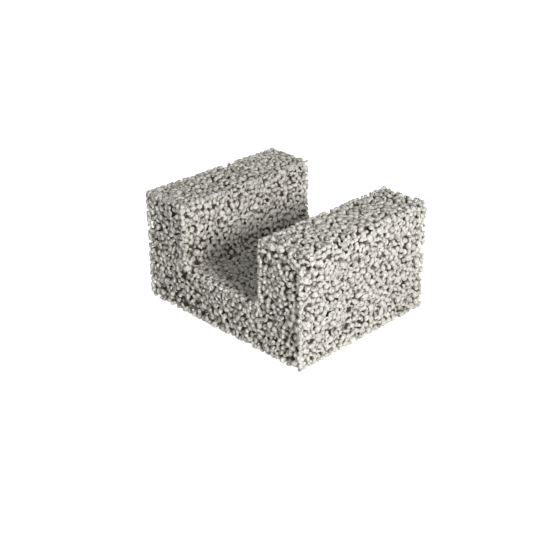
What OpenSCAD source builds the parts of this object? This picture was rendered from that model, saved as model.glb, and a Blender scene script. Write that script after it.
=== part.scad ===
// Channel block of lightweight aggregate concrete, moulded in one piece.
// A U-shaped section runs the whole length: a thick base, two upright walls and
// the open trough between them, which is filled with bars and concrete on site.
// Millimetres, +Z up, +Y along the trough, origin at the middle of the bed face.

/* [Block] */
// Width across both walls
block_w = 350; // [300:5:420]
// Length along the trough
block_l = 290; // [190:5:590]
// Height from the bed face to the wall tops
block_h = 190; // [160:5:250]
// Radius of the worn outer edges
arris_r = 4; // [1:0.5:8]

/* [Trough] */
// Thickness of each wall at its top
wall_t = 92; // [50:1:115]
// Thickness of the base under the trough
base_t = 80; // [50:1:110]
// How far each trough wall leans in from its top to the floor
wall_draft = 3; // [0:0.5:8]
// Radius where the trough walls meet the floor
floor_r = 12; // [3:1:30]

/* [Hidden] */
$fn = 96;

// How far a cutter reaches past the face that it opens
cut_over = 10;
// How far inside the floor radius the wall starts, so that the two cross cleanly
wall_lap = 0.02;

trough_depth = block_h - base_t;
mouth_half = block_w / 2 - wall_t;
floor_half = mouth_half - wall_draft;

// The lean runs from the foot of the top edge down to the floor
lean_h = trough_depth - arris_r;
lean_angle = atan(wall_draft / lean_h);

// The floor radius stays within half of the floor and half of the depth
corner_r = min(floor_r, floor_half / 2, trough_depth / 2);

// Centre of the floor radius, which touches both the floor and the leaning wall
corner_x = floor_half - corner_r * tan(45 - lean_angle / 2);
corner_z = base_t + corner_r;

concrete = [0.78, 0.77, 0.73];

// Rectangle with round corners, centred on the origin
module round_rect(width, height, radius) {
    square([width - 2 * radius, height], center = true);
    square([width, height - 2 * radius], center = true);
    for (x = [-1, 1], y = [-1, 1])
        translate([x * (width / 2 - radius), y * (height / 2 - radius)])
            circle(radius);
}

// Half of the trough's outline at +X, from the floor's middle up past the mouth
module trough_half() {
    wall_x = corner_x + (corner_r - wall_lap) * cos(lean_angle);
    wall_z = corner_z - (corner_r - wall_lap) * sin(lean_angle);
    polygon([
        [0, base_t],
        [corner_x, base_t],
        [wall_x, wall_z],
        [mouth_half, block_h - arris_r],
        [mouth_half, block_h + cut_over],
        [0, block_h + cut_over]
    ]);
    translate([corner_x, corner_z])
        circle(corner_r);
}

// Strip that takes the square corner off the inner edge of a wall top, at +X
module mouth_strip() {
    translate([0, block_h - arris_r])
        square([mouth_half + arris_r, arris_r + cut_over]);
}

// The U section, drawn with its width along X and its height along Y
module section() {
    difference() {
        translate([0, block_h / 2])
            round_rect(block_w, block_h, arris_r);
        for (side = [0, 1])
            mirror([side, 0]) {
                trough_half();
                mouth_strip();
            }
    }
    for (side = [-1, 1])
        translate([side * (mouth_half + arris_r), block_h - arris_r])
            circle(arris_r);
}

// Seen from above: rounds the four upright corners
module plan_outline() {
    linear_extrude(block_h)
        round_rect(block_w, block_l, arris_r);
}

// Seen from the side: rounds the end edges of the bed face and of the wall tops
module side_outline() {
    translate([0, 0, block_h / 2])
        rotate([90, 0, 90])
            linear_extrude(block_w, center = true)
                round_rect(block_l, block_h, arris_r);
}

module channel_block() {
    color(concrete)
        intersection() {
            rotate([90, 0, 0])
                linear_extrude(block_l, center = true)
                    section();
            plan_outline();
            side_outline();
        }
}

channel_block();
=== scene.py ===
"""Looks of the channel block: granules of light aggregate, bonded by a thin cement paste.

Granules of real size are packed into the outer layer of the block and joined to one closed
surface. That surface is cut into slices along the trough, which wear a procedural concrete.
Lengths are millimetres until the meshes are made, in metres.
"""

import functools
import itertools
import math

import bmesh
import bpy
import numpy as np
from mathutils import Matrix, Vector


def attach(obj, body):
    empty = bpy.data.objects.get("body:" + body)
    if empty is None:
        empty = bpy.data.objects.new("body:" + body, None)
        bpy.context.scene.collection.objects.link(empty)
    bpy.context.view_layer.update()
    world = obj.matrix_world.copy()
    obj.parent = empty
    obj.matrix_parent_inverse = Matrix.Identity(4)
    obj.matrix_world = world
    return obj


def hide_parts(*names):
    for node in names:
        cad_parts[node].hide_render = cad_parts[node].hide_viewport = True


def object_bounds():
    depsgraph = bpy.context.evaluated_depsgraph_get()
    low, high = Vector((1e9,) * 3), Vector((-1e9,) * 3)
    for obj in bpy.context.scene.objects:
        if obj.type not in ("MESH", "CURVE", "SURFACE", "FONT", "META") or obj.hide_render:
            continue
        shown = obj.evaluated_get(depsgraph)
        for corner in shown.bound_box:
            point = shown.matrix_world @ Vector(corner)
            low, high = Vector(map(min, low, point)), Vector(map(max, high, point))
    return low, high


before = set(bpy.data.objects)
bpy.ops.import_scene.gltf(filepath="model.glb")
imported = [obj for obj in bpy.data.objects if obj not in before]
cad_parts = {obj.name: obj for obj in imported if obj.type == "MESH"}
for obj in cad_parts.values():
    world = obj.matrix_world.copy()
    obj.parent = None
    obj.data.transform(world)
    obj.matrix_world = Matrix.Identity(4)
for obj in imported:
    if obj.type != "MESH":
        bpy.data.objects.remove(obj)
cad_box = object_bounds()
SEED = 41
rng = np.random.default_rng(SEED)

# Axes, millimetres in a metre, and a number that keeps divisions from nought
X, Y, Z = range(3)
MM_PER_M = 1000
TINY = 1e-9

# Block: overall sizes from the CAD box, to a thousandth, and the rest with the values of the part's source
BLOCK_W, BLOCK_L, BLOCK_H = (round(MM_PER_M * (high - low), 3) for low, high in zip(*cad_box))
WALL_T = 92.0
BASE_T = 80.0
WALL_DRAFT = 3.0
FLOOR_R = 12.0
MOUTH_HALF = BLOCK_W / 2 - WALL_T
HALF = np.array([BLOCK_W / 2, BLOCK_L / 2, BLOCK_H / 2])
MIDDLE = np.array([0, 0, BLOCK_H / 2])

# Rounding of the worn outer edges, the share by which it varies, and the waves in which it does
EDGE_R = 4.0
EDGE_WEAR = 0.2
WEAR_WAVELENGTH = 24.0
WEAR_WAYS = ((1.0, 0.4, 0.0), (0.0, 1.1, 0.5), (0.3, 0.0, 1.2))

# Granules: radius with its spread and limits, and each axis as a share of the radius
GRAIN_R = 4.3
GRAIN_SPREAD = 1.4
GRAIN_R_MIN = 2.6
GRAIN_R_MAX = 7.5
AXIS_LOW = 0.74
AXIS_HIGH = 1.26
# Depth of the layer that they fill, how full it is, and the places that are tried for them
SHELL_DEPTH = 14.0
PACKING = 0.62
GRAIN_TRIES = 200000
# How unevenly they meet the faces, each by itself and in clumps
UNEVEN = 1.2
CLUMP = 1.0
CLUMP_WAVELENGTH = 14.0
# How close a granule on an edge is to its second face, in radii
EDGE_TOUCH = 1.5
# How far the granules on the bed face are cut off by the flat pallet that the block was moulded on,
# and the least upward share of the way inward from that face
BED_CUT = 1.6
UPWARD = 0.7
# Pressing together: steps, size of the granules at the first and growth, share of an overlap
# that each of two granules gives way, and how often they are then held in the layer
RELAX_STEPS = 70
GROWN_FIRST = 0.7
GROWTH = 0.5
PUSH = 0.45
HOLD_STEPS = 2

# Small granules in the gaps along the edges: limits of their radius, how far from an edge they are,
# how often and at how many places they are tried, and the share of two radii that keeps them apart
FILLER_R_MIN = 2.0
FILLER_R_MAX = 3.6
FILLER_REACH = 8.0
FILLER_ROUNDS = 5
FILLER_TRIES = 60000
FILLER_APART = 0.7

# Share of the middling outermost granules, off the edges, that broke out, how much wider than
# the granule the pit in the paste is, and how far round the granule the paste is looked at
LOST_SHARE = 0.08
PIT_EXTRA = 0.5
PIT_RIM = 3.0

# Paste between the granules: its depth below a face, the least of it, on the bed face, and its waves
PASTE_DEPTH = 7.6
PASTE_DEPTH_LEAST = 1.5
PASTE_DEPTH_BED = 0.6
PASTE_WAVE = 1.5
PASTE_WAVELENGTH = 9.0
# How much more of it there is on an edge, and how far from the edge that ends
EDGE_FILL = 4.0
EDGE_REACH = 10.0

# Softness of the necks between granules and how far they reach, with limits for their sums
NECK = 0.22
NECK_REACH = 4 * NECK + 1
HEAP_POWER = 30
HEAP_LEAST = 1e-12
# How far, and how unevenly, the granules draw back
SHRINK = 0.55
SHRINK_WAVE = 0.3
SHRINK_WAVELENGTH = 11.0
# Lumps on the granules, and the depth over which they and the waves fade towards a face
LUMP = 1.3
LUMP_WAVELENGTH = 5.0
TIP_DEPTH = 1.2

# Surface: grid pitch, empty rim of the grid, distance of a place with no granule near,
# share of each neighbour in the smoothing, and value given to a place that is filled
PITCH = 1.5
RIM = 4.0
FAR = np.float32(6)
SOFTEN = np.float32(0.15)
FILLED = np.float32(-0.5)
# Depth below which the block counts as its core
CORE_DEPTH = BASE_T / 4
# Steps that bring a point on to the surface, the longest of them, and the least square of a slope
SETTLE_STEPS = 2
SETTLE_MOST = 0.3
SLOPE_LEAST = 0.1
# Places of the grid over which a place is judged to be a hollow or a tip
HOLLOW_REACH = 3
# Corners of a cell of the grid
CORNERS = np.array(list(itertools.product((0, 1), repeat=3)))

# Places of the cuts between the slices, along the trough
CUTS = (-112.0, -56.0, 0.0, 56.0, 112.0)

# Bake map: width of its square, gap between its rows, and its three columns
CHART_WIDTH = 405.0
CHART_GAP = 4.0
COLUMNS = (4.0, 204.0, 304.0)
# How far the charts of the wall tops, the trough floor and the trough walls reach past their faces
TOP_SPARE = 8.0
FLOOR_SPARE = 15.0
WALL_SPARE = 20.0
# Charts: axes across and along, where the chart starts on the first of them, its column and its row
CHARTS = {
    "right": (Z, Y, 0.0, COLUMNS[0], 1),
    "left": (Z, Y, 0.0, COLUMNS[0], 2),
    "end": (X, Z, -BLOCK_W / 2, COLUMNS[0], 4),
    "bed": (X, Y, -BLOCK_W / 2, COLUMNS[0], 0),
    "top_right": (X, Y, MOUTH_HALF - TOP_SPARE, COLUMNS[1], 3),
    "top_left": (X, Y, -BLOCK_W / 2, COLUMNS[2], 3),
    "wall_right": (Z, Y, BASE_T - WALL_SPARE, COLUMNS[1], 1),
    "wall_left": (Z, Y, BASE_T - WALL_SPARE, COLUMNS[1], 2),
    "floor": (X, Y, -MOUTH_HALF - FLOOR_SPARE, COLUMNS[0], 3),
}

# Concrete: darkest and lightest granule colours, painted shade of crevices and pits, and its dull surface
GRANULE_DARK = (0.635, 0.617, 0.562)
GRANULE_LIGHT = (0.75, 0.732, 0.677)
CREVICE_SHADE = (0.095, 0.075, 0.044)
PIT_SHADE = (0.06, 0.048, 0.03)
ROUGHNESS = 0.92
SPECULAR = 0.25
# Share of solid round a place, and depth below a face, over which the colour turns to painted crevice and
# pit shade
CREVICE_FROM = 0.40
CREVICE_TO = 0.75
PIT_FROM = 6.5
PIT_TO = 9.0
# Painted shade in the seams where two granules touch: its level, and how far it reaches
SEAM_PAINTED_SHADE = 0.3
SEAM_FROM = 0.4
SEAM_TO = 1.8
# Small knobs on the granules: distance, height, where grooves start and end, painted light on tops and
# shade in grooves
KNOB_SPACING = 4.6
KNOB_HEIGHT = 2.2
KNOB_FROM = 0.15
KNOB_TO = 0.6
KNOB_PAINTED_LIGHT = 1.04
KNOB_PAINTED_SHADE = 0.82
# Sandy skin of the granules, faint stains over many of them, and the span of noise that shows
SAND_WAVELENGTH = 2.6
SAND_DETAIL = 3
SAND_LOW = 0.84
SAND_HIGH = 1.1
SAND_HEIGHT = 0.8
STAIN_WAVELENGTH = 60.0
STAIN_DETAIL = 2
STAIN_LOW = 0.94
STAIN_HIGH = 1.04
NOISE_FROM = 0.3
NOISE_TO = 0.7

# Studio: half of the floor in metres, its tone and its glow for the camera, and the world's light
FLOOR_HALF = 6
FLOOR_TONE = 0.8
FLOOR_WHITE = 0.86
WORLD_LIGHT = 0.04
# Lamps: distance in metres, then name, swing from +X to the front end and rise in degrees,
# width in metres, power in watts and colour
LAMP_DISTANCE = 2.6
WHITE = (1.0, 1.0, 1.0)
WARM = (1.0, 0.95, 0.76)
LAMPS = (
    ("key", 14, 26, 0.6, 56, WHITE),
    ("upper", 50, 32, 0.5, 17, WHITE),
    ("fill", 170, 26, 1.2, 9, WARM),
    ("back", 225, 10, 1.2, 36, WHITE),
)

# Camera, fitted to the corners of the block in the photo: angles in degrees, and place in metres
CAMERA_AZIMUTH = 45.32
CAMERA_ELEVATION = 26.82
CAMERA_ROLL = -0.20
CAMERA_PLACE = (1.0705, -1.0910, 0.8290)
CAMERA_LENS = 69.42
CAMERA_SENSOR = 36
CAMERA_SHIFT = (-0.0012, 0.0012)


# Shape of the block

def trough_distance(x, z):
    """Distance of a section point from the open trough, negative inside it."""
    lean = WALL_DRAFT * np.clip((BLOCK_H - z) / (BLOCK_H - BASE_T), 0, 1)
    across = np.abs(x) - (MOUTH_HALF - lean) + FLOOR_R
    under = BASE_T - z + FLOOR_R
    corner = np.hypot(np.maximum(across, 0), np.maximum(under, 0))
    return corner + np.minimum(np.maximum(across, under), 0) - FLOOR_R


def wear(x, y, z):
    """How much more, or less, the edges are worn at a place, between -1 and 1."""
    turn = 2 * math.pi / WEAR_WAVELENGTH
    waves = [np.sin(turn * (a * x + b * y + c * z)) for a, b, c in WEAR_WAYS]
    return sum(waves) / len(waves)


def face_distances(x, y, z, bed=0.0):
    """Distances from the sides, the ends, the bed face, the wall tops and the trough."""
    return (
        BLOCK_W / 2 - np.abs(x),
        BLOCK_L / 2 - np.abs(y),
        z - bed,
        BLOCK_H - z,
        trough_distance(x, z),
    )


def second_face(points):
    """Distance of points from their second nearest face, which is small along the edges."""
    return np.partition(face_distances(*points.T), 1, axis=0)[1]


def depth(x, y, z, bed=0.0):
    """Depth of places below the nearest face, with rounded outer edges, negative outside the block."""
    faces = face_distances(x, y, z, bed)
    least = functools.reduce(np.minimum, faces)
    edge_r = EDGE_R * (1 + EDGE_WEAR * wear(x, y, z))
    over = np.sqrt(sum(np.maximum(edge_r - face, 0) ** 2 for face in faces))
    return np.where(least < edge_r, edge_r - over, least)


def inward(points, step=0.05):
    """Direction in which the depth grows fastest."""
    slope = np.empty_like(points)
    for axis in range(3):
        nudge = np.zeros(3)
        nudge[axis] = step
        slope[:, axis] = depth(*(points + nudge).T) - depth(*(points - nudge).T)
    return slope / np.maximum(np.linalg.norm(slope, axis=1, keepdims=True), TINY)


class Grid:
    """Regular grid of places round the block."""

    def __init__(self):
        self.low = MIDDLE - HALF - RIM
        count = np.ceil(2 * (HALF + RIM) / PITCH).astype(int) + 1
        self.axes = [self.low[i] + PITCH * np.arange(count[i]) for i in range(3)]
        self.shape = tuple(count)
        self.step = np.array([count[1] * count[2], count[2], 1])

    def block(self, centre, reach):
        """Index of the places within reach of a point, and their offsets from it."""
        first = np.maximum(np.ceil((centre - reach - self.low) / PITCH).astype(int), 0)
        last = np.floor((centre + reach - self.low) / PITCH).astype(int) + 1
        index = tuple(slice(a, b) for a, b in zip(first, last))
        return index, [self.axes[k][index[k]] - centre[k] for k in range(3)]

    def open_axes(self):
        """The three axes, shaped to spread over the grid."""
        x, y, z = (axis.astype(np.float32) for axis in self.axes)
        return x[:, None, None], y[None, :, None], z[None, None, :]


def edge_distance(grid):
    """Distance of each place of the grid from its second nearest face."""
    faces = face_distances(*grid.open_axes())
    least, second = np.minimum(*faces[:2]), np.maximum(*faces[:2])
    for face in faces[2:]:
        second = np.minimum(second, np.maximum(least, face))
        least = np.minimum(least, face)
    return second


def smooth_noise(shape, wavelength):
    """Random hills of unit height on the grid, about this far apart."""
    size = [int(n * PITCH / wavelength) + 3 for n in shape]
    values = rng.normal(size=size).astype(np.float32)
    for axis, count in enumerate(shape):
        place = np.arange(count) * PITCH / wavelength
        cell = place.astype(int)
        share = place - cell
        share = (share * share * (3 - 2 * share)).astype(np.float32)
        share = share.reshape([-1 if k == axis else 1 for k in range(3)])
        low = np.take(values, cell, axis)
        values = low + (np.take(values, cell + 1, axis) - low) * share
    return values


# Granules

def close_pairs(points, reach):
    """Pairs of points that lie in the same cube of this size or in touching ones, each once."""
    cube = np.floor((points - points.min(0)) / reach).astype(np.int64) + 1
    rows = cube.max(0) + 2
    key = (cube[:, 0] * rows[1] + cube[:, 1]) * rows[2] + cube[:, 2]
    order = np.argsort(key, kind="stable")
    ordered = key[order]
    ones = []
    twos = []
    offsets = list(itertools.product((-1, 0, 1), repeat=3))
    for offset in offsets[len(offsets) // 2:]:
        other = key + (offset[0] * rows[1] + offset[1]) * rows[2] + offset[2]
        first = np.searchsorted(ordered, other, "left")
        count = np.searchsorted(ordered, other, "right") - first
        one = np.repeat(np.arange(len(points)), count)
        place = np.arange(count.sum()) - np.repeat(np.cumsum(count) - count, count)
        two = order[np.repeat(first, count) + place]
        once = (one < two) | any(offset)
        ones.append(one[once])
        twos.append(two[once])
    return np.concatenate(ones), np.concatenate(twos)


def sum_at(index, vectors, size):
    """Sums of the vectors that share an index."""
    return np.stack([np.bincount(index, part, size) for part in vectors.T], 1)


def random_turns(count):
    """Rotation matrices spread evenly over all turns."""
    quaternion = rng.normal(size=(count, 4))
    w, x, y, z = (quaternion / np.linalg.norm(quaternion, axis=1, keepdims=True)).T
    rows = np.array([
        [1 - 2 * (y * y + z * z), 2 * (x * y - z * w), 2 * (x * z + y * w)],
        [2 * (x * y + z * w), 1 - 2 * (x * x + z * z), 2 * (y * z - x * w)],
        [2 * (x * z - y * w), 2 * (y * z + x * w), 1 - 2 * (x * x + y * y)],
    ])
    return np.moveaxis(rows, 2, 0)


def pushed_apart(centre, radius):
    """The centres after granules that overlap have pushed each other away."""
    one, two = close_pairs(centre, 2 * GRAIN_R_MAX)
    apart = centre[one] - centre[two]
    distance = np.maximum(np.linalg.norm(apart, axis=1), TINY)
    overlap = radius[one] + radius[two] - distance
    hit = overlap > 0
    push = apart[hit] * (PUSH * overlap[hit] / distance[hit])[:, None]
    return centre + sum_at(one[hit], push, len(centre)) - sum_at(two[hit], push, len(centre))


def held_in(centre, radius, axes, turns, drawn_in):
    """The centres after granules have moved into the outer layer, with their tips at the faces."""
    below = depth(*centre.T)
    way = inward(centre)
    reach = np.linalg.norm(np.einsum("nij,nj->ni", turns, way) * axes, axis=1)
    inset = np.where(second_face(centre) < EDGE_TOUCH * radius, -SHRINK, drawn_in)
    off = reach + np.where(way[:, Z] > UPWARD, -BED_CUT, inset)
    short = np.maximum(off - below, 0) - np.maximum(below - SHELL_DEPTH + radius, 0)
    return centre + way * short[:, None]


def with_fillers(centre, radius, shape):
    """The granules with small ones added in the gaps along the edges."""
    tries = rng.uniform(-1, 1, (FILLER_TRIES, 3)) * HALF + MIDDLE
    below = depth(*tries.T)
    way = inward(tries)
    near = (below > 0) & (below < FILLER_REACH) & (second_face(tries) < FILLER_REACH)
    near &= way[:, Z] < UPWARD
    added = rng.uniform(FILLER_R_MIN, FILLER_R_MAX, near.sum())
    tries = tries[near] + way[near] * (added - SHRINK - below[near])[:, None]
    axes = added[:, None] * rng.uniform(AXIS_LOW, AXIS_HIGH, (len(added), 3))
    centre = np.concatenate([centre, tries])
    radius = np.concatenate([radius, added])
    shape = np.concatenate([shape, random_turns(len(added)) / axes[:, :, None]])
    one, two = close_pairs(centre, GRAIN_R_MAX + FILLER_R_MAX)
    distance = np.linalg.norm(centre[one] - centre[two], axis=1)
    lapped = distance < FILLER_APART * (radius[one] + radius[two])
    kept = np.ones(len(centre), bool)
    kept[np.maximum(one, two)[lapped]] = False
    kept[:len(centre) - len(added)] = True
    return centre[kept], radius[kept], shape[kept]


def pack_granules(grid):
    """Centres, radii and shape matrices of granules that are pressed together in the outer layer."""
    tries = rng.uniform(-1, 1, (GRAIN_TRIES, 3)) * HALF + MIDDLE
    below = depth(*tries.T)
    shell = (below > 0) & (below < SHELL_DEPTH)
    room = 8 * HALF.prod() * shell.mean()
    radius = rng.normal(GRAIN_R, GRAIN_SPREAD, shell.sum()).clip(GRAIN_R_MIN, GRAIN_R_MAX)
    volume = np.cumsum(4 / 3 * math.pi * radius**3)
    count = int(np.searchsorted(volume, PACKING * room))
    centre = tries[shell][:count]
    radius = radius[:count]
    axes = radius[:, None] * rng.uniform(AXIS_LOW, AXIS_HIGH, (count, 3))
    turns = random_turns(count)
    hills = smooth_noise(grid.shape, CLUMP_WAVELENGTH)
    hill = hills[tuple(((centre - grid.low) / PITCH).astype(int).T)]
    drawn_in = rng.uniform(0, UNEVEN, count) + CLUMP * np.maximum(hill, 0) - SHRINK
    for step in range(RELAX_STEPS):
        grown = radius * min(1.0, GROWN_FIRST + GROWTH * step / RELAX_STEPS)
        centre = pushed_apart(centre, grown)
        for _ in range(HOLD_STEPS):
            centre = held_in(centre, radius, axes, turns, drawn_in)
    granules = centre, radius, turns / axes[:, :, None]
    for _ in range(FILLER_ROUNDS):
        granules = with_fillers(*granules)
    return granules


# Surface of the joined granules

def add_rows(matrix_row, offsets):
    """Sum of the three offsets, each times its factor, over a block of the grid."""
    x, y, z = (factor * offset for factor, offset in zip(matrix_row, offsets))
    return x[:, None, None] + y[None, :, None] + z[None, None, :]


def softened(field):
    """The field with details of less than two places smoothed away."""
    for axis in range(3):
        ahead = np.roll(field, -1, axis)
        behind = np.roll(field, 1, axis)
        field = SOFTEN * (ahead + behind) + (1 - 2 * SOFTEN) * field
    return field


def paste_depth(grid, centre, radius):
    """Depth of each place below the paste's surface, which has pits where granules broke out."""
    level = PASTE_DEPTH + PASTE_WAVE * smooth_noise(grid.shape, PASTE_WAVELENGTH)
    level -= EDGE_FILL * np.clip(1 - edge_distance(grid) / EDGE_REACH, 0, 1)
    # The bed face is put out of reach here, because its paste has a depth of its own
    below = depth(*grid.open_axes(), -BLOCK_H)
    over_bed = grid.axes[Z].astype(np.float32) - PASTE_DEPTH_BED
    paste = np.minimum(below - np.maximum(level, PASTE_DEPTH_LEAST), over_bed)
    for point, size in zip(centre, radius):
        index, offsets = grid.block(point, size + PIT_RIM)
        away = np.sqrt(sum(add_rows(row, offsets) ** 2 for row in np.eye(3)))
        paste[index] = np.minimum(paste[index], away - size - PIT_EXTRA)
    return paste


def make_field(grid, below):
    """Signed field of the joined granules, the granule at each place and how much farther the next is."""
    centre, radius, shape = pack_granules(grid)
    outermost = depth(*centre.T) < radius * AXIS_HIGH + UNEVEN
    middling = np.abs(radius - GRAIN_R + GRAIN_SPREAD / 2) < GRAIN_SPREAD / 2
    off_edge = second_face(centre) > EDGE_REACH
    lost = outermost & middling & off_edge & (rng.random(len(centre)) < LOST_SHARE)
    paste = paste_depth(grid, centre[lost], radius[lost])
    heap = np.exp(np.clip(paste / NECK, -HEAP_POWER, HEAP_POWER))
    nearest = np.full(grid.shape, FAR, np.float32)
    second = nearest.copy()
    owner = np.full(grid.shape, -1, np.int32)
    for i in np.flatnonzero(~lost):
        index, offsets = grid.block(centre[i], radius[i] * AXIS_HIGH + NECK_REACH)
        squares = sum(add_rows(row, offsets) ** 2 for row in shape[i])
        away = ((np.sqrt(squares) - 1) * radius[i]).astype(np.float32)
        heap[index] += np.exp(-away / NECK)
        closer = away < nearest[index]
        second[index] = np.minimum(second[index], np.maximum(nearest[index], away))
        nearest[index] = np.where(closer, away, nearest[index])
        owner[index][closer] = i
    waves = SHRINK_WAVE * smooth_noise(grid.shape, SHRINK_WAVELENGTH)
    waves += LUMP * smooth_noise(grid.shape, LUMP_WAVELENGTH)
    field = SHRINK + waves * np.clip(below / TIP_DEPTH, 0, 1)
    field -= NECK * np.log(np.maximum(heap, HEAP_LEAST))
    return np.maximum(softened(field), -below), owner, second - nearest


def neighbours(array, axis):
    """Views of the array without its last and without its first layer along an axis."""
    behind = [slice(None)] * 3
    ahead = [slice(None)] * 3
    behind[axis] = slice(None, -1)
    ahead[axis] = slice(1, None)
    return array[tuple(behind)], array[tuple(ahead)]


def fill_touching(field):
    """Fills the places where two parts of the surface would meet in one edge only."""
    while True:
        inside = field < 0
        fill = np.zeros_like(inside)
        for one, two in ((0, 1), (0, 2), (1, 2)):
            a, b, c, d = (part for half in neighbours(inside, one) for part in neighbours(half, two))
            fill_a, fill_b = neighbours(neighbours(fill, one)[0], two)
            fill_a |= b & c & ~a & ~d
            fill_b |= a & d & ~b & ~c
        if not fill.any():
            return field
        field = np.where(fill, FILLED, field)


def joined(seed, room):
    """The part of the room that joins on to the seed."""
    found = seed & room
    size = -1
    while size != found.sum():
        size = found.sum()
        grown = found.copy()
        for axis in range(3):
            behind, ahead = neighbours(found, axis)
            grown_behind, grown_ahead = neighbours(grown, axis)
            grown_ahead |= behind
            grown_behind |= ahead
        found = grown & room
    return found


def seen(outside):
    """Empty places that show from outside along straight lines in many directions."""
    found = np.zeros_like(outside)
    for axis, way, a, b in itertools.product(range(3), (1, -1), (-1, 0, 1), (-1, 0, 1)):
        layers = np.moveaxis(outside, axis, 0)[::way]
        marks = np.moveaxis(found, axis, 0)[::way]
        light = np.ones(layers.shape[1:], bool)
        for layer, mark in zip(layers, marks):
            light = np.roll(light, (a, b), (0, 1))
            light[[0, -1]] = True
            light[:, [0, -1]] = True
            light &= layer
            mark |= light
    return found


def one_skin(field, below):
    """The field with hidden hollows filled and loose granules gone, so that its surface is one skin."""
    field = np.where((field >= 0) & ~seen(field >= 0), FILLED, field)
    field = fill_touching(field)
    loose = (field < 0) & ~joined(below > CORE_DEPTH, field < 0)
    field = np.where(loose, -FILLED, field)
    closed = (field >= 0) & ~joined(below < 0, field >= 0)
    return np.where(closed, FILLED, field)


def open_cuts(field, layers):
    """The field with single points filled where two parts of a cut would meet."""
    filled = True
    while filled:
        filled = False
        for layer in layers:
            pair = field[:, layer - 1:layer + 1]
            cut = (pair < 0).all(1)
            a, b, c, d = cut[:-1, :-1], cut[:-1, 1:], cut[1:, :-1], cut[1:, 1:]
            meetings = ((a & d & ~(b | c), (0, 1)), (b & c & ~(a | d), (0, 0)))
            for meeting, empty in meetings:
                for x, z in np.argwhere(meeting) + empty:
                    pair[x, :, z] = np.minimum(pair[x, :, z], FILLED)
                    filled = True
        field = fill_touching(field)
    return field


def crossing_points(grid, field):
    """Cells that the surface crosses, by their flat index, and the middle of their crossings."""
    inside = field < 0
    nx, ny, nz = (n - 1 for n in field.shape)
    count = np.zeros((nx, ny, nz), np.uint8)
    for a, b, c in CORNERS:
        count += inside[a:a + nx, b:b + ny, c:c + nz]
    cells = np.argwhere((count > 0) & (count < len(CORNERS)))
    flat = cells @ grid.step
    values = field.ravel()[flat[:, None] + CORNERS @ grid.step]
    total = np.zeros((len(cells), 3))
    crossings = np.zeros(len(cells))
    for one, two in itertools.combinations(range(len(CORNERS)), 2):
        along = CORNERS[two] - CORNERS[one]
        if np.abs(along).sum() != 1:
            continue
        a = values[:, one]
        b = values[:, two]
        crossed = (a < 0) != (b < 0)
        share = np.where(crossed, a / np.where(crossed, a - b, 1), 0)
        total += crossed[:, None] * (CORNERS[one] + share[:, None] * along)
        crossings += crossed
    return flat, grid.low + PITCH * (cells + total / crossings[:, None])


def settled(grid, field, places):
    """Points moved on to the surface of the field, along its slope."""
    for _ in range(SETTLE_STEPS):
        spot = (places - grid.low) / PITCH
        cell = spot.astype(int)
        share = spot - cell
        flat = cell @ grid.step
        value = np.zeros(len(places))
        slope = np.zeros((len(places), 3))
        for bits in CORNERS:
            corner = field.ravel()[flat + bits @ grid.step]
            weight = np.where(bits, share, 1 - share)
            value += corner * weight.prod(1)
            for axis in range(3):
                rest = np.delete(weight, axis, 1).prod(1)
                slope[:, axis] += corner * rest * (1 if bits[axis] else -1) / PITCH
        step = value / np.maximum((slope**2).sum(1), SLOPE_LEAST)
        move = slope * step[:, None]
        longest = np.maximum(np.abs(move).max(1), TINY)
        places = places - move * np.minimum(1, SETTLE_MOST / longest)[:, None]
    return places


def hollowness(inside):
    """Share of solid within reach of each place: about a half on a flat, more in a hollow."""
    share = inside.astype(np.float32)
    width = 2 * HOLLOW_REACH + 1
    for axis in range(3):
        rim = [(HOLLOW_REACH + 1, HOLLOW_REACH) if k == axis else (0, 0) for k in range(3)]
        total = np.cumsum(np.pad(share, rim, "edge"), axis, dtype=np.float64)
        total = np.moveaxis(total, axis, 0)
        share = np.moveaxis(total[width:] - total[:-width], 0, axis) / width
    return share.astype(np.float32)


# Slices

def slice_quads(grid, inside, first, last):
    """Quads of the skin between two layers of the grid, as flat cell indices."""
    part = np.zeros_like(inside)
    part[:, first:last] = inside[:, first:last]
    solid = inside.ravel()
    quads = []
    for axis in range(3):
        behind, ahead = neighbours(part, axis)
        place = np.argwhere(behind != ahead)
        flat = place @ grid.step
        on_skin = solid[flat] != solid[flat + grid.step[axis]]
        place = place[on_skin]
        flat = flat[on_skin]
        side = grid.step[(axis + 1) % 3]
        other = grid.step[(axis + 2) % 3]
        ring = flat[:, None] + np.array([-side - other, -other, 0, -side])
        entering = ~behind[tuple(place.T)]
        ring[entering] = ring[entering][:, ::-1]
        quads.append(ring)
    return np.concatenate(quads)


def skin_normals(places, skins):
    """Normals of the whole skin at its points, so that the slices meet without a visible seam."""
    total = np.zeros_like(places)
    for spots in skins:
        a, b, c, d = (places[spots[:, k]] for k in range(4))
        across = np.cross(c - a, d - b)
        for corner in spots.T:
            total += sum_at(corner, across, len(places))
    return total / np.maximum(np.linalg.norm(total, axis=1, keepdims=True), TINY)


def sampled(grid, array, index):
    """Mean of the corners of grid cells."""
    return array.ravel()[index[:, None] + CORNERS @ grid.step].mean(1)


def mesh_of(name, places, quads):
    """Mesh of quads, in metres, from places in millimetres."""
    mesh = bpy.data.meshes.new(name)
    mesh.vertices.add(len(places))
    mesh.vertices.foreach_set("co", (places / MM_PER_M).astype(np.float32).ravel())
    mesh.loops.add(quads.size)
    mesh.loops.foreach_set("vertex_index", quads.astype(np.int32).ravel())
    mesh.polygons.add(len(quads))
    mesh.polygons.foreach_set("loop_start", np.arange(0, quads.size, 4, dtype=np.int32))
    mesh.update(calc_edges=True)
    mesh.shade_smooth()
    return mesh


def add_values(mesh, name, values):
    """Stores one number for each point of the mesh."""
    mesh.attributes.new(name, "FLOAT", "POINT").data.foreach_set("value", values.astype(np.float32))


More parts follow.
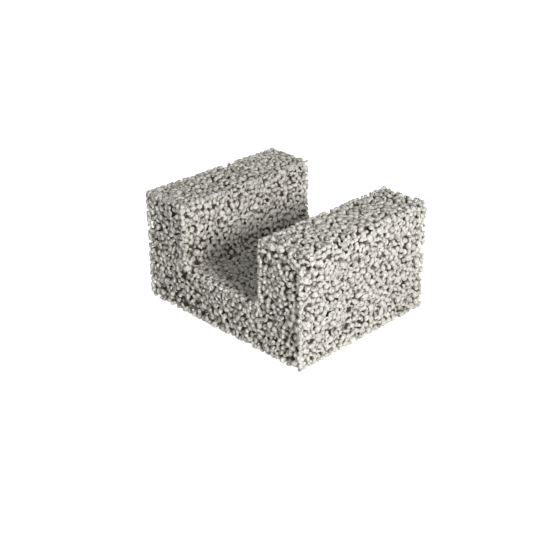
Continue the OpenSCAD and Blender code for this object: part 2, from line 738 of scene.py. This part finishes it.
def close_ends(mesh, planes):
    """Fills the flat cuts of a slice, at these places along the trough."""
    form = bmesh.new()
    form.from_mesh(mesh)
    rim = [edge for edge in form.edges if edge.is_boundary]
    for plane in planes:
        loop = [edge for edge in rim if abs(edge.verts[0].co.y - plane / MM_PER_M) < PITCH / MM_PER_M]
        bmesh.ops.triangle_fill(form, edges=loop, normal=(0, 1, 0), use_beauty=False)
    form.to_mesh(mesh)
    form.free()


def chart_of(middle):
    """Number of the chart of the bake map that places belong to: the nearest face of the block."""
    x, y, z = middle.T
    distances = face_distances(x, y, z)
    nearest = np.argmin(distances, axis=0)
    side, end, bed, top, trough = (nearest == number for number in range(len(distances)))
    wall = np.abs(x) - MOUTH_HALF > BASE_T - z
    left = x < 0
    faces = {
        "right": side & ~left,
        "left": side & left,
        "end": end,
        "bed": bed,
        "top_right": top & ~left,
        "top_left": top & left,
        "wall_right": trough & wall & ~left,
        "wall_left": trough & wall & left,
        "floor": trough & ~wall,
    }
    return np.argmax([faces[name] for name in CHARTS], axis=0)


def add_bake_map(mesh, quad_count, first_y, length):
    """Adds the map that surfaces are baked to: the faces of the block laid out flat, in rows."""
    co = np.empty(3 * len(mesh.vertices), np.float32)
    mesh.vertices.foreach_get("co", co)
    co = co.reshape(-1, 3) * MM_PER_M
    corner = np.empty(len(mesh.loops), np.int32)
    mesh.loops.foreach_get("vertex_index", corner)
    place = co[corner[:4 * quad_count]]
    chart = np.repeat(chart_of(place.reshape(-1, 4, 3).mean(1)), 4)
    across, along, start, column, row = (np.array(part)[chart] for part in zip(*CHARTS.values()))
    each = np.arange(len(place))
    # The flat cuts, which come after the quads, share one hidden spot
    spot = np.full((len(corner), 2), CHART_WIDTH - CHART_GAP)
    spot[each, 0] = place[each, across] - start + column
    spot[each, 1] = place[each, along] - np.where(along == Y, first_y, 0)
    spot[each, 1] += row * (length + CHART_GAP) + CHART_GAP
    layer = mesh.uv_layers.new(name="OFBake")
    layer.data.foreach_set("uv", (spot / CHART_WIDTH).astype(np.float32).ravel())


def make_slices():
    """The block as slices along the trough, each a closed mesh with the values that its material reads."""
    grid = Grid()
    below = depth(*grid.open_axes())
    field, owner, lead = make_field(grid, below)
    cut_layers = [round((cut - grid.low[Y]) / PITCH) for cut in CUTS]
    layers = [0, *cut_layers, grid.shape[Y]]
    field = open_cuts(one_skin(field, below), cut_layers)
    flat, places = crossing_points(grid, field)
    places = settled(grid, field, places)
    # The last tone is for places with no granule, whose owner is -1
    tone_of = rng.random(owner.max() + 2)
    inside = field < 0
    hollow = hollowness(inside)
    spans = list(itertools.pairwise(layers))
    skins = [np.searchsorted(flat, slice_quads(grid, inside, *span)) for span in spans]
    normals = skin_normals(places, skins)
    slices = []
    for number, (skin, ends) in enumerate(zip(skins, spans), 1):
        used, corner = np.unique(skin, return_inverse=True)
        points = places[used]
        cells = flat[used]
        mesh = mesh_of(f"concrete_slice_{number}", points, corner.reshape(-1, 4))
        add_values(mesh, "tone", tone_of[owner.ravel()[cells]])
        add_values(mesh, "below", depth(*points.T))
        add_values(mesh, "hollow", sampled(grid, hollow, cells))
        add_values(mesh, "lead", sampled(grid, lead, cells))
        close_ends(mesh, [grid.low[Y] + PITCH * (layer - 0.5) for layer in ends])
        add_bake_map(mesh, len(skin), points[:, Y].min(), np.ptp(points[:, Y]))
        mesh.normals_split_custom_set_from_vertices(normals[used])
        slices.append(bpy.data.objects.new(mesh.name, mesh))
        bpy.context.collection.objects.link(slices[-1])
    return slices


# Materials

def add_node(tree, kind, inputs, **settings):
    """Adds a node, with its inputs set to values or linked to other nodes."""
    node = tree.nodes.new(kind)
    for name, value in settings.items():
        setattr(node, name, value)
    for name, value in inputs.items():
        if isinstance(value, bpy.types.NodeSocket):
            tree.links.new(value, node.inputs[name])
        else:
            node.inputs[name].default_value = value
    return node


def maths(tree, operation, *values):
    """Result of an operation on numbers."""
    node = add_node(tree, "ShaderNodeMath", dict(enumerate(values)), operation=operation)
    return node.outputs["Value"]


def attribute(tree, name):
    """A number that the mesh stores for each point."""
    return add_node(tree, "ShaderNodeAttribute", {}, attribute_name=name).outputs["Fac"]


def span(tree, value, low, high, to_low=0.0, to_high=1.0):
    """A number that goes smoothly between two others while a value goes from low to high."""
    ends = {"Value": value, "From Min": low, "From Max": high, "To Min": to_low, "To Max": to_high}
    return add_node(tree, "ShaderNodeMapRange", ends, interpolation_type="SMOOTHSTEP").outputs["Result"]


def mixed(tree, share, one, two):
    """A mix of two colours."""
    node = add_node(tree, "ShaderNodeMix", {"Factor": share, "A": one, "B": two}, data_type="RGBA")
    return node.outputs["Result"]


def shaded(tree, colour, level):
    """A colour times a number."""
    node = add_node(tree, "ShaderNodeVectorMath", {"Vector": colour, "Scale": level}, operation="SCALE")
    return node.outputs["Vector"]


def noise(tree, place, wavelength, detail):
    """Random tones between 0 and 1, about this many millimetres apart."""
    inputs = {"Vector": place, "Scale": MM_PER_M / wavelength, "Detail": detail}
    return add_node(tree, "ShaderNodeTexNoise", inputs).outputs["Fac"]


def knobs(tree, place):
    """Square of the distance from the middle of the nearest knob, in knob spacings."""
    inputs = {"Vector": place, "Scale": MM_PER_M / KNOB_SPACING}
    distance = add_node(tree, "ShaderNodeTexVoronoi", inputs).outputs["Distance"]
    return maths(tree, "MULTIPLY", distance, distance)


def make_concrete():
    """Pale granules with knobs and a sandy skin, with painted light and shade on knobs, seams, crevices
    and pits.
    """
    material = bpy.data.materials.new("concrete")
    material.use_nodes = True
    tree = material.node_tree
    shader = tree.nodes["Principled BSDF"]
    shader.inputs["Roughness"].default_value = ROUGHNESS
    shader.inputs["Specular IOR Level"].default_value = SPECULAR
    place = add_node(tree, "ShaderNodeTexCoord", {}).outputs["Object"]
    sand = noise(tree, place, SAND_WAVELENGTH, SAND_DETAIL)
    stain = noise(tree, place, STAIN_WAVELENGTH, STAIN_DETAIL)
    groove = knobs(tree, place)
    colour = mixed(tree, attribute(tree, "tone"), (*GRANULE_DARK, 1), (*GRANULE_LIGHT, 1))
    # Knobs and seams are painted light and shade; sand and stain are random tone of the concrete
    painted_shades_and_tones = (
        # Painted light on the middles of the knobs and painted shade in the grooves between them
        (groove, KNOB_FROM, KNOB_TO, KNOB_PAINTED_LIGHT, KNOB_PAINTED_SHADE),
        (sand, NOISE_FROM, NOISE_TO, SAND_LOW, SAND_HIGH),
        # Painted shade in the seams, where the next granule is nearly as near as the nearest
        (attribute(tree, "lead"), SEAM_FROM, SEAM_TO, SEAM_PAINTED_SHADE, 1.0),
        (stain, NOISE_FROM, NOISE_TO, STAIN_LOW, STAIN_HIGH),
    )
    for shade in painted_shades_and_tones:
        colour = shaded(tree, colour, span(tree, *shade))
    # Painted shade in the crevices: the colour darkens where more solid lies round a place
    hollow = span(tree, attribute(tree, "hollow"), CREVICE_FROM, CREVICE_TO)
    colour = mixed(tree, hollow, colour, (*CREVICE_SHADE, 1))
    # Painted shade in the pits: the colour darkens the deeper a place lies below a face
    below = span(tree, attribute(tree, "below"), PIT_FROM, PIT_TO)
    colour = mixed(tree, below, colour, (*PIT_SHADE, 1))
    tree.links.new(colour, shader.inputs["Base Color"])
    relief = maths(tree, "MULTIPLY_ADD", groove, -KNOB_HEIGHT / SAND_HEIGHT, sand)
    inputs = {"Strength": 1.0, "Distance": SAND_HEIGHT / MM_PER_M, "Height": relief}
    bump = add_node(tree, "ShaderNodeBump", inputs)
    tree.links.new(bump.outputs["Normal"], shader.inputs["Normal"])
    return material


def direct_view(tree):
    """1 for what the camera sees straight, mirrored or through glass, and 0 for light on the object."""
    path = add_node(tree, "ShaderNodeLightPath", {})
    value = path.outputs["Is Camera Ray"]
    for name in ("Is Glossy Ray", "Is Transmission Ray"):
        value = maths(tree, "MAXIMUM", value, path.outputs[name])
    return value


# Studio

def add_floor():
    """Plain pale floor, which the camera sees as white with the object's shadow on it."""
    mesh = bpy.data.meshes.new("floor")
    form = bmesh.new()
    bmesh.ops.create_grid(form, x_segments=1, y_segments=1, size=FLOOR_HALF)
    form.to_mesh(mesh)
    form.free()
    paint = bpy.data.materials.new("floor")
    paint.use_nodes = True
    tree = paint.node_tree
    surface = tree.nodes["Principled BSDF"]
    surface.inputs["Base Color"].default_value = (FLOOR_TONE, FLOOR_TONE, FLOOR_TONE, 1)
    surface.inputs["Specular IOR Level"].default_value = 0
    surface.inputs["Emission Color"].default_value = (*WHITE, 1)
    glow = span(tree, direct_view(tree), 0, 1, 0, FLOOR_WHITE)
    tree.links.new(glow, surface.inputs["Emission Strength"])
    mesh.materials.append(paint)
    floor = bpy.data.objects.new("floor", mesh)
    bpy.context.collection.objects.link(floor)


def add_world():
    """World that the camera sees as white, and that lights the object faintly."""
    world = bpy.data.worlds.new("studio")
    bpy.context.scene.world = world
    world.use_nodes = True
    tree = world.node_tree
    background = tree.nodes["Background"]
    background.inputs["Color"].default_value = (*WHITE, 1)
    strength = span(tree, direct_view(tree), 0, 1, WORLD_LIGHT, 1)
    tree.links.new(strength, background.inputs["Strength"])


def add_lamp(name, swing, rise, size, power, colour):
    """Soft square lamp that points at the middle of the block."""
    swing = math.radians(swing)
    rise = math.radians(rise)
    way = Vector((
        math.cos(rise) * math.cos(swing),
        -math.cos(rise) * math.sin(swing),
        math.sin(rise),
    ))
    data = bpy.data.lights.new(name, "AREA")
    data.size = size
    data.energy = power
    data.color = colour
    light = bpy.data.objects.new(name, data)
    light.location = way * LAMP_DISTANCE
    aim = light.location - Vector(MIDDLE / MM_PER_M)
    light.rotation_euler = aim.to_track_quat("Z", "Y").to_euler()
    bpy.context.collection.objects.link(light)


def add_camera():
    """Camera of the photo."""
    azimuth = math.radians(CAMERA_AZIMUTH)
    elevation = math.radians(CAMERA_ELEVATION)
    roll = math.radians(CAMERA_ROLL)
    back = Vector((
        math.sin(azimuth) * math.cos(elevation),
        -math.cos(azimuth) * math.cos(elevation),
        math.sin(elevation),
    ))
    right = Vector((math.cos(azimuth), math.sin(azimuth), 0))
    up = back.cross(right)
    side = right * math.cos(roll) + up * math.sin(roll)
    top = up * math.cos(roll) - right * math.sin(roll)
    turn = Matrix((side, top, back)).transposed().to_4x4()
    camera = bpy.data.objects.new("camera", bpy.data.cameras.new("camera"))
    camera.matrix_world = Matrix.Translation(CAMERA_PLACE) @ turn
    camera.data.lens = CAMERA_LENS
    camera.data.sensor_width = CAMERA_SENSOR
    camera.data.shift_x, camera.data.shift_y = CAMERA_SHIFT
    bpy.context.collection.objects.link(camera)
    bpy.context.scene.camera = camera
    bpy.context.scene.view_settings.view_transform = "Standard"


pieces = make_slices()
concrete = make_concrete()
for piece in pieces:
    piece.data.materials.append(concrete)
    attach(piece, "root")
    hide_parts("channel_block")
add_floor()
add_world()
for lamp in LAMPS:
    add_lamp(*lamp)
add_camera()
